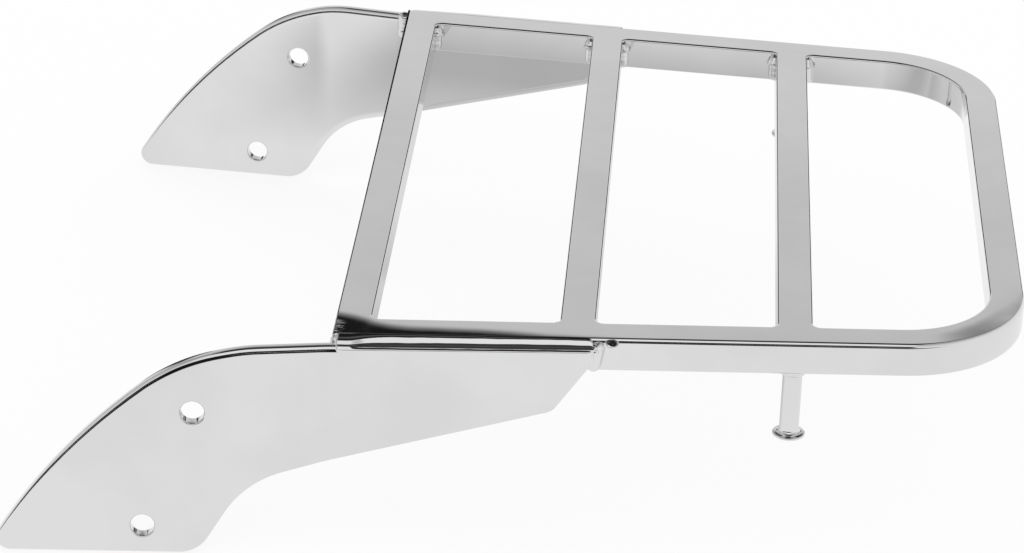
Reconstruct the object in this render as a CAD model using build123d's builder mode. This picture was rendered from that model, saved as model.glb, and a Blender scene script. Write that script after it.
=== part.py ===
"""Chromed solo luggage rack for a motorcycle: bent square-tube frame, three crossbars,
two bolt-on side plates, two pegs under the rails and the welds that join them.

Frame: millimetres, +X rearwards along the rack, +Y to the rider's right, +Z up.
The origin is the centre of the middle crossbar's top face.
"""
import math
import os

from build123d import *

os.makedirs("parts", exist_ok=True)

# Square tube
TUBE = 12.7
TUBE_WALL = 1.5
TUBE_EDGE_R = 1.5
TOP_Z = 0.0
BOTTOM_Z = TOP_Z - TUBE

# Rack plan: the rails close in towards the rear by the taper angle
TAPER_DEG = 4.83
RAIL_HALF_AT_ORIGIN = 142.1
FRONT_BAR_X = -79.0
REAR_BAR_X = 77.0
END_X = 154.0
BEND_R = 42.0

# Side plates, measured along the rail from the origin and down from the top face
PLATE_T = 4.5
PLATE_CHAMFER = 0.8
PLATE_TAIL_U = 6.3
PLATE_TAIL_TOP_Z = -1.8
PLATE_TAIL_LOW_Z = -7.6
PLATE_TAIL_CORNER = (-7.5, -27.4)
PLATE_TAIL_CORNER_R = 6.0
PLATE_BAY = (-115.7, -56.6)
PLATE_BAY_R = 34.0
PLATE_HEEL = (-132.4, -85.0)
PLATE_HEEL_R = 12.0
PLATE_TOE = (-207.6, -85.0)
PLATE_TOE_R = 5.0
PLATE_CREST_END = (-111.2, -3.2)
PLATE_SHOULDER_MID = (-151.8, -17.8)
JOGGLE = 3.7
JOGGLE_REAR_U = -90.5
JOGGLE_FRONT_U = -118.0
JOGGLE_BEND_R = 60.0

# Bolt holes through each side plate
BOLT_HOLE_D = 8.5
BOLT_HOLE_UPPER = (-134.1, -28.2)
BOLT_HOLE_LOWER = (-151.9, -73.8)

# Pegs welded under the rails below the rear crossbar
PEG_D = 7.0
PEG_FLARE = 1.8
PEG_FOOT_LIP = 0.55
PEG_FOOT_D = PEG_D + 2 * (PEG_FLARE + PEG_FOOT_LIP)
PEG_FOOT_T = 1.1
PEG_FOOT_CHAMFER = 0.35
PEG_BOTTOM_Z = -39.6

# Welds; a bead reaches a little way into the grooves that rounded edges leave
WELD_LEG = 4.0
WELD_HOLLOW = 0.7
WELD_DROP = 0.15
GROOVE = TUBE_EDGE_R - 0.05
SEAM_RISE = 1.0
SEAM_WIDTH = 2.8
SEAM_DEPTH = 1.2
SEAM_INSET = 0.5
TAIL_WELD_WIDTH = 3.2
TAIL_WELD_RISE = 3.6
CORNER_WELD_TOP_Z = -3.6
STITCH_LEG = 2.4
STITCH_LENGTH = 13.0
STITCH_CENTRES = (-63.0, -28.0)
PEG_WELD_REACH = 1.3
PEG_WELD_RISE = 2.8

# Derived values
TAPER = math.radians(TAPER_DEG)
SLOPE = math.tan(TAPER)
HALF_ACROSS = TUBE / 2 / math.cos(TAPER)
FRONT_BAR_FACE_X = FRONT_BAR_X - TUBE / 2
FRONT_BAR_BACK_X = FRONT_BAR_X + TUBE / 2


def rail_centre(x):
    """Distance of the rail's centreline from the middle plane at station x."""
    return RAIL_HALF_AT_ORIGIN - SLOPE * x


def rail_inner(x):
    """Distance of the rail's inner face from the middle plane at station x."""
    return rail_centre(x) - HALF_ACROSS


def rail_outer(x):
    """Distance of the rail's outer face from the middle plane at station x."""
    return rail_centre(x) + HALF_ACROSS


# Plan planes at the tube's bottom and the left rail's own frame: x along the rail, z outwards
BOTTOM_PLANE = Plane.XY.offset(BOTTOM_Z)
BORE_PLANE = BOTTOM_PLANE.offset(TUBE_WALL)
WELD_PLANE = BOTTOM_PLANE.offset(WELD_DROP)
BORE = TUBE - 2 * TUBE_WALL
WELD_HEIGHT = TUBE - 2 * WELD_DROP
PLATE_CREST_TANGENT = (PLATE_CREST_END[0] - PLATE_TAIL_U, PLATE_CREST_END[1] - PLATE_TAIL_TOP_Z)
SEAM_LENGTH = PLATE_TAIL_U - FRONT_BAR_FACE_X / math.cos(TAPER)
LEFT_ALONG = Vector(math.cos(TAPER), math.sin(TAPER), 0)
LEFT_OUT = Vector(math.sin(TAPER), -math.cos(TAPER), 0)
LEFT_FACE = Plane(origin=(0, -rail_outer(0), 0), x_dir=LEFT_ALONG, z_dir=LEFT_OUT)
LEFT_PLAN = Plane(origin=(0, -rail_outer(0), 0), x_dir=LEFT_ALONG, z_dir=(0, 0, 1))

# Outer rail: one length of square tube bent into a U, its open ends at the front crossbar
with BuildPart() as outer_rail:
    with BuildSketch(BOTTOM_PLANE):
        with BuildLine() as rail_path:
            rail_start_x = FRONT_BAR_X - TUBE
            Polyline(
                (rail_start_x, -rail_centre(rail_start_x)),
                (END_X, -rail_centre(END_X)),
                (END_X, rail_centre(END_X)),
                (rail_start_x, rail_centre(rail_start_x)),
            )
            fillet(rail_path.vertices().sort_by(Axis.X)[-2:], BEND_R)
        trace(line_width=TUBE)
    extrude(amount=TUBE)
    rail_long_edges = outer_rail.edges().filter_by(Plane.XY)
    fillet(rail_long_edges.filter_by(lambda e: e.center().X > rail_start_x + TUBE), TUBE_EDGE_R)
    with BuildSketch(BORE_PLANE):
        with BuildLine() as bore_path:
            add(rail_path.line)
        trace(line_width=BORE)
    extrude(amount=BORE, mode=Mode.SUBTRACT)
    with BuildSketch(BOTTOM_PLANE.offset(-TUBE)):
        with Locations((FRONT_BAR_BACK_X, 0)):
            Rectangle(4 * TUBE, 4 * RAIL_HALF_AT_ORIGIN, align=(Align.MAX, Align.CENTER))
    extrude(amount=3 * TUBE, mode=Mode.SUBTRACT)
outer_rail.part.label = "outer_rail"


def bar_outline(x, reach, half):
    """Corner points of a crossbar's plan, its ends cut to the rails' taper."""
    front = x - half
    back = x + half
    return [(front, -reach(front)), (back, -reach(back)), (back, reach(back)), (front, reach(front))]


# Front crossbar: runs the full width across the rails' open ends
with BuildPart() as front_crossbar:
    with BuildSketch(BOTTOM_PLANE):
        with BuildLine():
            Polyline(*bar_outline(FRONT_BAR_X, rail_outer, TUBE / 2), close=True)
        make_face()
    extrude(amount=TUBE)
    fillet(front_crossbar.edges().filter_by(Axis.Y), TUBE_EDGE_R)
    with BuildSketch(BORE_PLANE):
        with BuildLine():
            Polyline(*bar_outline(FRONT_BAR_X, rail_outer, BORE / 2), close=True)
        make_face()
    extrude(amount=BORE, mode=Mode.SUBTRACT)
front_crossbar.part.label = "front_crossbar"

# Middle crossbar: between the rails' inner faces
with BuildPart() as middle_crossbar:
    with BuildSketch(BOTTOM_PLANE):
        with BuildLine():
            Polyline(*bar_outline(0, rail_inner, TUBE / 2), close=True)
        make_face()
    extrude(amount=TUBE)
    fillet(middle_crossbar.edges().filter_by(Axis.Y), TUBE_EDGE_R)
    with BuildSketch(BORE_PLANE):
        with BuildLine():
            Polyline(*bar_outline(0, rail_inner, BORE / 2), close=True)
        make_face()
    extrude(amount=BORE, mode=Mode.SUBTRACT)
middle_crossbar.part.label = "middle_crossbar"

# Rear crossbar: like the middle one, further back
with BuildPart() as rear_crossbar:
    with BuildSketch(BOTTOM_PLANE):
        with BuildLine():
            Polyline(*bar_outline(REAR_BAR_X, rail_inner, TUBE / 2), close=True)
        make_face()
    extrude(amount=TUBE)
    fillet(rear_crossbar.edges().filter_by(Axis.Y), TUBE_EDGE_R)
    with BuildSketch(BORE_PLANE):
        with BuildLine():
            Polyline(*bar_outline(REAR_BAR_X, rail_inner, BORE / 2), close=True)
        make_face()
    extrude(amount=BORE, mode=Mode.SUBTRACT)
rear_crossbar.part.label = "rear_crossbar"

# Side plate: flat plate with an outward joggle ahead of the rack, cut to the swept outline
with BuildPart() as left_side_plate:
    with BuildSketch(LEFT_PLAN.offset(PLATE_HEEL[1] - TUBE)):
        with BuildLine() as joggle_path:
            Polyline(
                (PLATE_TAIL_U + TUBE, -PLATE_T / 2),
                (JOGGLE_REAR_U, -PLATE_T / 2),
                (JOGGLE_FRONT_U, -PLATE_T / 2 - JOGGLE),
                (PLATE_TOE[0] - TUBE, -PLATE_T / 2 - JOGGLE),
            )
            fillet(joggle_path.vertices().sort_by(Axis.X)[1:3], JOGGLE_BEND_R)
        trace(line_width=PLATE_T)
    extrude(amount=-PLATE_HEEL[1] + 2 * TUBE)
    with BuildSketch(LEFT_FACE.offset(-TUBE)) as plate_outline:
        with BuildLine():
            Polyline(
                PLATE_CREST_END,
                (PLATE_TAIL_U, PLATE_TAIL_TOP_Z),
                (PLATE_TAIL_U, PLATE_TAIL_LOW_Z),
                PLATE_TAIL_CORNER,
                PLATE_BAY,
                PLATE_HEEL,
                PLATE_TOE,
            )
            shoulder = TangentArc(PLATE_CREST_END, PLATE_SHOULDER_MID, tangent=PLATE_CREST_TANGENT)
            TangentArc(PLATE_SHOULDER_MID, PLATE_TOE, tangent=shoulder % 1)
        make_face()
        fillet(plate_outline.vertices().sort_by_distance(PLATE_TAIL_CORNER)[0], PLATE_TAIL_CORNER_R)
        fillet(plate_outline.vertices().sort_by_distance(PLATE_BAY)[0], PLATE_BAY_R)
        fillet(plate_outline.vertices().sort_by_distance(PLATE_HEEL)[0], PLATE_HEEL_R)
        fillet(plate_outline.vertices().sort_by_distance(PLATE_TOE)[0], PLATE_TOE_R)
    extrude(amount=3 * TUBE, mode=Mode.INTERSECT)
    chamfer(left_side_plate.edges().filter_by(Axis((0, 0, 0), LEFT_OUT), reverse=True), PLATE_CHAMFER)
    with BuildSketch(LEFT_FACE.offset(-TUBE)):
        with Locations(BOLT_HOLE_UPPER, BOLT_HOLE_LOWER):
            Circle(BOLT_HOLE_D / 2)
    extrude(amount=3 * TUBE, mode=Mode.SUBTRACT)
left_side_plate.part.label = "left_side_plate"

with BuildPart() as right_side_plate:
    mirror(left_side_plate.part, about=Plane.XZ)
right_side_plate.part.label = "right_side_plate"

# Pegs: a turned shank flaring into a thin round foot, upright under each rail
PEG_Y = rail_centre(REAR_BAR_X)
PEG_PROFILE_PLANE = Plane(origin=(REAR_BAR_X, -PEG_Y, 0), x_dir=(1, 0, 0), z_dir=(0, -1, 0))
with BuildPart() as left_peg:
    with BuildSketch(PEG_PROFILE_PLANE):
        with BuildLine():
            foot_top_z = PEG_BOTTOM_Z + PEG_FOOT_T
            Polyline(
                (PEG_D / 2, BOTTOM_Z),
                (PEG_D / 2, foot_top_z + PEG_FLARE),
                (PEG_D / 2 + PEG_FLARE, foot_top_z),
                (PEG_FOOT_D / 2, foot_top_z),
                (PEG_FOOT_D / 2, PEG_BOTTOM_Z),
                (0, PEG_BOTTOM_Z),
                (0, BOTTOM_Z),
                close=True,
            )
        make_face()
    revolve(axis=Axis((REAR_BAR_X, -PEG_Y, 0), (0, 0, 1)))
    rim_edges = left_peg.edges().filter_by(GeomType.CIRCLE).filter_by(lambda e: e.radius > PEG_FOOT_D / 2 - 0.01)
    chamfer(rim_edges, PEG_FOOT_CHAMFER)
left_peg.part.label = "left_peg"

with BuildPart() as right_peg:
    mirror(left_peg.part, about=Plane.XZ)
right_peg.part.label = "right_peg"


def hollow_point(start, end, corner):
    """Middle point of a weld's concave face, drawn in towards the corner it fills."""
    mid = (Vector(*start) + Vector(*end)) / 2
    inwards = (Vector(*corner) - mid).normalized()
    point = mid + inwards * WELD_HOLLOW
    return (point.X, point.Y)


def crossbar_weld(x, bar, label):
    """Beads in both corners between a crossbar and the left rail, with the groove between them filled."""
    front = x - TUBE / 2
    back = x + TUBE / 2
    with BuildPart() as weld:
        with BuildSketch(WELD_PLANE):
            with BuildLine():
                front_tip = (front - WELD_LEG, -rail_inner(front - WELD_LEG))
                front_corner = (front, -rail_inner(front))
                front_root = (front, -rail_inner(front) + WELD_LEG)
                back_root = (back, -rail_inner(back) + WELD_LEG)
                back_corner = (back, -rail_inner(back))
                back_tip = (back + WELD_LEG, -rail_inner(back + WELD_LEG))
                ThreePointArc(front_tip, hollow_point(front_tip, front_root, front_corner), front_root)
                Line(front_root, back_root)
                ThreePointArc(back_root, hollow_point(back_root, back_tip, back_corner), back_tip)
                Polyline(
                    back_tip,
                    (back_tip[0], back_tip[1] - GROOVE),
                    (front_tip[0], front_tip[1] - GROOVE),
                    front_tip,
                )
            make_face()
        extrude(amount=WELD_HEIGHT)
        add(outer_rail.part, mode=Mode.SUBTRACT)
        add(bar.part, mode=Mode.SUBTRACT)
        with BuildSketch(BORE_PLANE):
            with BuildLine():
                Polyline(*bar_outline(x, rail_centre, BORE / 2), close=True)
            make_face()
        extrude(amount=BORE, mode=Mode.SUBTRACT)
    weld.part.label = label
    return weld


middle_crossbar_left_weld = crossbar_weld(0, middle_crossbar, "middle_crossbar_left_weld")
rear_crossbar_left_weld = crossbar_weld(REAR_BAR_X, rear_crossbar, "rear_crossbar_left_weld")

# Front crossbar weld: a bead in the inner corner and the groove across the rail's end
with BuildPart() as front_crossbar_left_weld:
    with BuildSketch(WELD_PLANE):
        with BuildLine():
            weld_tip = (FRONT_BAR_BACK_X + WELD_LEG, -rail_inner(FRONT_BAR_BACK_X + WELD_LEG))
            weld_corner = (FRONT_BAR_BACK_X, -rail_inner(FRONT_BAR_BACK_X))
            weld_root = (FRONT_BAR_BACK_X, weld_corner[1] + WELD_LEG)
            ThreePointArc(weld_tip, hollow_point(weld_tip, weld_root, weld_corner), weld_root)
            Polyline(
                weld_root,
                (FRONT_BAR_BACK_X - GROOVE, weld_root[1]),
                (FRONT_BAR_BACK_X - GROOVE, -rail_outer(FRONT_BAR_BACK_X)),
                (FRONT_BAR_BACK_X, -rail_outer(FRONT_BAR_BACK_X)),
                (FRONT_BAR_BACK_X, weld_corner[1] - GROOVE),
                (weld_tip[0], weld_tip[1] - GROOVE),
                weld_tip,
            )
        make_face()
    extrude(amount=WELD_HEIGHT)
    add(outer_rail.part, mode=Mode.SUBTRACT)
    add(front_crossbar.part, mode=Mode.SUBTRACT)
front_crossbar_left_weld.part.label = "front_crossbar_left_weld"

# Corner weld: an upright bead between the front crossbar's front face and the side plate
with BuildPart() as left_plate_corner_weld:
    with BuildSketch(WELD_PLANE):
        with BuildLine():
            corner = (FRONT_BAR_FACE_X, -rail_outer(FRONT_BAR_FACE_X))
            plate_tip = (FRONT_BAR_FACE_X - WELD_LEG, -rail_outer(FRONT_BAR_FACE_X - WELD_LEG))
            bar_root = (FRONT_BAR_FACE_X, corner[1] + WELD_LEG)
            ThreePointArc(plate_tip, hollow_point(plate_tip, bar_root, corner), bar_root)
            Polyline(
                bar_root,
                (FRONT_BAR_FACE_X + GROOVE, bar_root[1]),
                (FRONT_BAR_FACE_X + GROOVE, corner[1] - PLATE_T / 2),
                (plate_tip[0], corner[1] - PLATE_T / 2),
                plate_tip,
            )
        make_face()
    extrude(amount=CORNER_WELD_TOP_Z - BOTTOM_Z - WELD_DROP)
    add(left_side_plate.part, mode=Mode.SUBTRACT)
    add(front_crossbar.part, mode=Mode.SUBTRACT)
    with BuildSketch(BORE_PLANE):
        with BuildLine():
            Polyline(*bar_outline(FRONT_BAR_X, rail_outer, BORE / 2), close=True)
        make_face()
    extrude(amount=BORE, mode=Mode.SUBTRACT)
left_plate_corner_weld.part.label = "left_plate_corner_weld"

# Seam weld: fills the ledge on the side plate's top edge against the rail and the front crossbar's end
SEAM_START = LEFT_FACE.from_local_coords(Vector(PLATE_TAIL_U, PLATE_TAIL_TOP_Z, 0))
SEAM_CREST = LEFT_FACE.from_local_coords(Vector(*PLATE_CREST_END, 0))
SEAM_PLANE = Plane(origin=SEAM_START, x_dir=LEFT_OUT, z_dir=SEAM_CREST - SEAM_START)
with BuildPart() as left_plate_seam_weld:
    with BuildSketch(SEAM_PLANE):
        with BuildLine():
            seam_high = (-SEAM_INSET, SEAM_RISE)
            seam_low = (SEAM_WIDTH, 0)
            ThreePointArc(seam_high, (SEAM_WIDTH / 3, SEAM_RISE / 3), seam_low)
            Polyline(seam_low, (SEAM_WIDTH, -SEAM_DEPTH), (-SEAM_INSET, -SEAM_DEPTH), seam_high)
        make_face()
    extrude(amount=SEAM_LENGTH)
    add(left_side_plate.part, mode=Mode.SUBTRACT)
    add(left_plate_corner_weld.part, mode=Mode.SUBTRACT)
    add(outer_rail.part, mode=Mode.SUBTRACT)
    add(front_crossbar.part, mode=Mode.SUBTRACT)
left_plate_seam_weld.part.label = "left_plate_seam_weld"

# Tail weld: an upright bead on the rail's outer face at the side plate's rear end
with BuildPart() as left_plate_tail_weld:
    with BuildSketch(LEFT_PLAN.offset(BOTTOM_Z + TUBE_EDGE_R / 2)):
        with BuildLine():
            tail_tip = (PLATE_TAIL_U + TAIL_WELD_WIDTH, 0)
            tail_root = (PLATE_TAIL_U, -TAIL_WELD_RISE)
            ThreePointArc(tail_tip, hollow_point(tail_tip, tail_root, (PLATE_TAIL_U, 0)), tail_root)
            Polyline(
                tail_root,
                (PLATE_TAIL_U - WELD_LEG, -TAIL_WELD_RISE),
                (PLATE_TAIL_U - WELD_LEG, SEAM_INSET),
                (tail_tip[0], SEAM_INSET),
                tail_tip,
            )
        make_face()
    extrude(amount=PLATE_TAIL_TOP_Z - PLATE_CHAMFER - BOTTOM_Z - TUBE_EDGE_R / 2)
    add(left_side_plate.part, mode=Mode.SUBTRACT)
    add(left_plate_seam_weld.part, mode=Mode.SUBTRACT)
    add(outer_rail.part, mode=Mode.SUBTRACT)
left_plate_tail_weld.part.label = "left_plate_tail_weld"

# Stitch welds: two short beads between the rail's underside and the side plate's inner face
with BuildPart() as left_plate_stitch_welds:
    for centre in STITCH_CENTRES:
        stitch_origin = LEFT_FACE.from_local_coords(Vector(centre - STITCH_LENGTH / 2, BOTTOM_Z, 0))
        with BuildSketch(Plane(origin=stitch_origin, x_dir=-LEFT_OUT, z_dir=LEFT_ALONG)):
            with BuildLine():
                low = (0, -STITCH_LEG)
                side = (STITCH_LEG + TUBE_EDGE_R, 0)
                ThreePointArc(low, hollow_point(low, side, (0, 0)), side)
                Polyline(side, (side[0], GROOVE), (0, GROOVE), low)
            make_face()
        extrude(amount=STITCH_LENGTH)
    add(outer_rail.part, mode=Mode.SUBTRACT)
left_plate_stitch_welds.part.label = "left_plate_stitch_welds"

# Peg weld: a ring where the shank meets the rail's underside
with BuildPart() as left_peg_weld:
    with BuildSketch(PEG_PROFILE_PLANE):
        with BuildLine():
            Polyline(
                (PEG_D / 2, BOTTOM_Z - PEG_WELD_RISE),
                (PEG_D / 2, BOTTOM_Z),
                (PEG_D / 2 + PEG_WELD_REACH, BOTTOM_Z),
                close=True,
            )
        make_face()
    revolve(axis=Axis((REAR_BAR_X, -PEG_Y, 0), (0, 0, 1)))
left_peg_weld.part.label = "left_peg_weld"

# The right-hand welds mirror the left-hand ones
LEFT_WELDS = [
    front_crossbar_left_weld,
    middle_crossbar_left_weld,
    rear_crossbar_left_weld,
    left_plate_corner_weld,
    left_plate_seam_weld,
    left_plate_tail_weld,
    left_plate_stitch_welds,
    left_peg_weld,
]
right_welds = []
for left_weld in LEFT_WELDS:
    with BuildPart() as right_weld:
        mirror(left_weld.part, about=Plane.XZ)
    right_weld.part.label = left_weld.part.label.replace("left", "right")
    right_welds.append(right_weld)

FRAME_PIECES = [outer_rail, front_crossbar, middle_crossbar, rear_crossbar]
SIDE_PIECES = [left_side_plate, right_side_plate, left_peg, right_peg]
for piece in FRAME_PIECES + SIDE_PIECES + LEFT_WELDS + right_welds:
    export_step(piece.part, f"parts/{piece.part.label}.step")
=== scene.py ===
"""Chromed solo luggage rack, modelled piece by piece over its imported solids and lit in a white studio."""
import logging
import math
import random
from contextlib import contextmanager
from dataclasses import dataclass, field
from enum import Enum
from typing import Callable, Iterator, Sequence

import bmesh
import bpy
from mathutils import Matrix, Vector


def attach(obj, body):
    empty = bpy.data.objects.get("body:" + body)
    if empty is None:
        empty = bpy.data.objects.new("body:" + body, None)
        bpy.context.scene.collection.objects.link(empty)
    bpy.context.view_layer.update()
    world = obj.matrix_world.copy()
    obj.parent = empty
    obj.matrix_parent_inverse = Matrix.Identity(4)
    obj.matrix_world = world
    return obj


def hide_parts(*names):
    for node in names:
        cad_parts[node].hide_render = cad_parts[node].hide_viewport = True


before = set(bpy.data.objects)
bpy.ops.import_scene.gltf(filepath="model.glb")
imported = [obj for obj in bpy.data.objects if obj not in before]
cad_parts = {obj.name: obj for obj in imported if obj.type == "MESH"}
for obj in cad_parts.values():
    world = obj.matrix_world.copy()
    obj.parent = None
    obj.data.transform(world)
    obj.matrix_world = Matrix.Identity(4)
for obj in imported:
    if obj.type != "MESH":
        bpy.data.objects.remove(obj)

log = logging.getLogger("rack")

# Short names for types
Piece = bpy.types.Object
Tree = bpy.types.NodeTree
Socket = bpy.types.NodeSocket
Edge = bmesh.types.BMEdge
Triple = tuple[float, float, float]
Span = tuple[float, float]

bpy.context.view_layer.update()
ROOT = "root"

# Axes to spin round
UP = (0.0, 0.0, 1.0)
TO_RIGHT = (0.0, 1.0, 0.0)
TO_LEFT = (0.0, -1.0, 0.0)
QUARTER = math.pi / 2

# Edges sharper than these angles, in degrees, stay sharp
MACHINED_CREASE = 35.0
WELD_CREASE = 80.0

# Faces that turn by more than this, in radians, have a rim between them
RIM_TURN = 1.4

# Tones at the start and the end of a change, and the reach of a share
RISING = (0.0, 1.0)
FALLING = (1.0, 0.0)
WHOLE = (0.0, 1.0)
WHITE = (1.0, 1.0, 1.0, 1.0)


def mm(value: float) -> float:
    """Turn millimetres into metres."""
    return value / 1000.0


def mm_both(span: Span) -> Span:
    """Turn both ends of a span from millimetres into metres."""
    return (mm(span[0]), mm(span[1]))


def to_mm(value: float) -> float:
    """Turn metres into millimetres."""
    return value * 1000.0


def spot(x: float, y: float, z: float) -> Vector:
    """A point given in millimetres, as a vector in metres."""
    return Vector((mm(x), mm(y), mm(z)))


def hex_colour(code: str) -> tuple[float, float, float, float]:
    """Turn an sRGB hex colour into the linear values that a shader takes.

    Args:
        code: Six hex digits, with or without a leading #.

    Returns:
        Linear red, green and blue, and an alpha of 1.
    """
    digits = code.lstrip("#")
    parts = [int(digits[i : i + 2], 16) / 255.0 for i in (0, 2, 4)]
    red, green, blue = (p / 12.92 if p <= 0.04045 else ((p + 0.055) / 1.055) ** 2.4 for p in parts)
    return (red, green, blue, 1.0)


class Side(Enum):
    """Which side of the rack a piece is on; the value is the sign of its y."""

    LEFT = -1
    RIGHT = 1

    @property
    def word(self) -> str:
        """The side's name as the nodes use it."""
        return self.name.lower()


@dataclass(frozen=True)
class RackPlan:
    """Sizes that the whole rack shares, in millimetres."""

    tube: float = 12.7
    taper_deg: float = 4.83
    half_at_origin: float = 142.1
    front_bar_x: float = -79.0
    rear_bar_x: float = 77.0
    end_x: float = 154.0
    bend_radius: float = 42.0

    @property
    def taper(self) -> float:
        """Angle of each rail to the middle plane, in radians."""
        return math.radians(self.taper_deg)

    @property
    def front_face_x(self) -> float:
        """Station of the front crossbar's front face."""
        return self.front_bar_x - self.tube / 2

    def rail_centre(self, x: float) -> float:
        """Distance of the rail's centreline from the middle plane at station x."""
        return self.half_at_origin - math.tan(self.taper) * x

    def rail_inner(self, x: float) -> float:
        """Distance of the rail's inner face from the middle plane at station x."""
        return self.rail_centre(x) - self.tube / 2 / math.cos(self.taper)

    def rail_outer(self, x: float) -> float:
        """Distance of the rail's outer face from the middle plane at station x."""
        return self.rail_centre(x) + self.tube / 2 / math.cos(self.taper)


PLAN = RackPlan()


# Modelling tools


def clear_selection() -> None:
    """Leave edit mode and deselect everything."""
    if bpy.context.object is not None and bpy.context.object.mode != "OBJECT":
        bpy.ops.object.mode_set(mode="OBJECT")
    bpy.ops.object.select_all(action="DESELECT")


def take_up(piece: Piece) -> None:
    """Make one object the only selected and the active one."""
    clear_selection()
    piece.select_set(True)
    bpy.context.view_layer.objects.active = piece


@contextmanager
def editing(piece: Piece) -> Iterator[None]:
    """Hold a piece in edit mode for the block's length."""
    take_up(piece)
    bpy.ops.object.mode_set(mode="EDIT")
    bpy.ops.mesh.select_mode(type="VERT")
    try:
        yield
    finally:
        bpy.ops.object.mode_set(mode="OBJECT")


def settle(piece: Piece) -> None:
    """Put the object's place into its mesh, so that it sits at the origin unturned."""
    take_up(piece)
    bpy.ops.object.transform_apply(location=True, rotation=True, scale=True)


def join_up(pieces: Sequence[Piece]) -> Piece:
    """Make several pieces one, under the first one's name."""
    take_up(pieces[0])
    for other in pieces[1:]:
        other.select_set(True)
    if len(pieces) > 1:
        bpy.ops.object.join()
    return pieces[0]


def apply_modifier(piece: Piece, kind: str, **settings: object) -> None:
    """Add one modifier to a piece, set it, and put its result into the mesh."""
    take_up(piece)
    bpy.ops.object.modifier_add(type=kind)
    modifier = piece.modifiers[-1]
    for key, value in settings.items():
        setattr(modifier, key, value)
    bpy.ops.object.modifier_apply(modifier=modifier.name)


def smooth_skin(piece: Piece) -> None:
    """Subdivide a piece's skin once, smoothly."""
    apply_modifier(piece, "SUBSURF", levels=1, render_levels=1)


def pick_all() -> None:
    """Select the whole mesh being edited."""
    bpy.ops.mesh.select_all(action="SELECT")


def pick(kind: str, test: Callable[[object], bool]) -> None:
    """Select vertices, edges or faces of the mesh being edited by a test.

    Args:
        kind: "VERT", "EDGE" or "FACE".
        test: Takes one element and says whether to select it.
    """
    bpy.ops.mesh.select_all(action="DESELECT")
    bpy.ops.mesh.select_mode(type=kind)
    mesh = bpy.context.object.data
    shape = bmesh.from_edit_mesh(mesh)
    elements = {"VERT": shape.verts, "EDGE": shape.edges, "FACE": shape.faces}[kind]
    for element in [e for e in elements if test(e)]:
        element.select_set(True)
    shape.select_flush_mode()
    bmesh.update_edit_mesh(mesh)


def merge_points(reach: float = 1e-6) -> None:
    """Select the whole mesh and merge points that lie within a reach, in metres."""
    pick_all()
    bpy.ops.mesh.remove_doubles(threshold=reach)


def heal() -> None:
    """Merge doubled points of the whole mesh and turn its faces outwards."""
    merge_points()
    bpy.ops.mesh.normals_make_consistent(inside=False)


def round_edges(radius: float, segments: int, strength: str = "ALL") -> None:
    """Round the selected edges.

    Args:
        radius: How far in from the edge the rounding starts, in millimetres.
        segments: Faces across the rounding.
        strength: "ALL" marks which faces are flat ones, for their normals, and "NONE" marks nothing.
    """
    bpy.ops.mesh.bevel(offset=mm(radius), segments=segments, affect="EDGES", face_strength_mode=strength)


def leave_uneven(amount: float, seed: int) -> None:
    """Move the selected points by up to some millimetres, the same way on each run."""
    bpy.ops.transform.vertex_random(offset=mm(amount), uniform=1.0, normal=0.0, seed=seed)


def finish_surface(piece: Piece, name: str, crease: float = MACHINED_CREASE) -> Piece:
    """Turn faces outwards, shade smoothly with flat faces kept flat, and name the piece.

    Args:
        piece: The modelled object.
        name: The name that it is listed by.
        crease: Edges sharper than this, in degrees, stay sharp.

    Returns:
        The same object.
    """
    with editing(piece):
        heal()
    take_up(piece)
    bpy.ops.object.shade_smooth_by_angle(angle=math.radians(crease))
    apply_modifier(piece, "WEIGHTED_NORMAL", weight=100, keep_sharp=True, use_face_influence=True)
    piece.name = name
    piece.data.name = name
    return piece


def seat_on_rail(piece: Piece, plan: RackPlan, side: Side) -> None:
    """Bring a piece drawn along the rail, with y = 0 on its outer face, to its place on one side."""
    take_up(piece)
    piece.rotation_euler.z = plan.taper
    piece.location = spot(0.0, -plan.rail_outer(0.0), 0.0)
    settle(piece)
    if side is Side.RIGHT:
        piece.scale.y = -1.0
        settle(piece)


def push_out(step: Vector) -> None:
    """Extrude what is selected by one step, in metres."""
    bpy.ops.mesh.extrude_region_move(TRANSFORM_OT_translate={"value": step})


def turn_round(centre: Vector, angle: float, steps: int, axis: Triple = UP) -> None:
    """Sweep what is selected round an axis by the right-hand rule, leaving the new end selected."""
    bpy.ops.mesh.spin(steps=steps, angle=-angle, center=centre, axis=axis)


@dataclass(frozen=True)
class Corner:
    """One corner of a flat outline in the tracing plane y = 0: across, up, and the radius that rounds it."""

    u: float
    z: float
    radius: float = 0.0

    def point(self) -> Vector:
        """The corner as a point, in metres."""
        return spot(self.u, 0.0, self.z)


def arc_centre(start: Vector, end: Vector, heading: Vector) -> tuple[Vector, float]:
    """Centre and radius of the arc that leaves start along heading and meets end.

    Args:
        start: First point, in the plane y = 0.
        end: Last point.
        heading: Unit direction at the start.

    Returns:
        The centre, and the radius, negative where the arc turns down.
    """
    across = Vector((-heading.z, 0.0, heading.x))
    chord = end - start
    radius = chord.length_squared / (2 * chord.dot(across))
    return start + across * radius, radius


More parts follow.
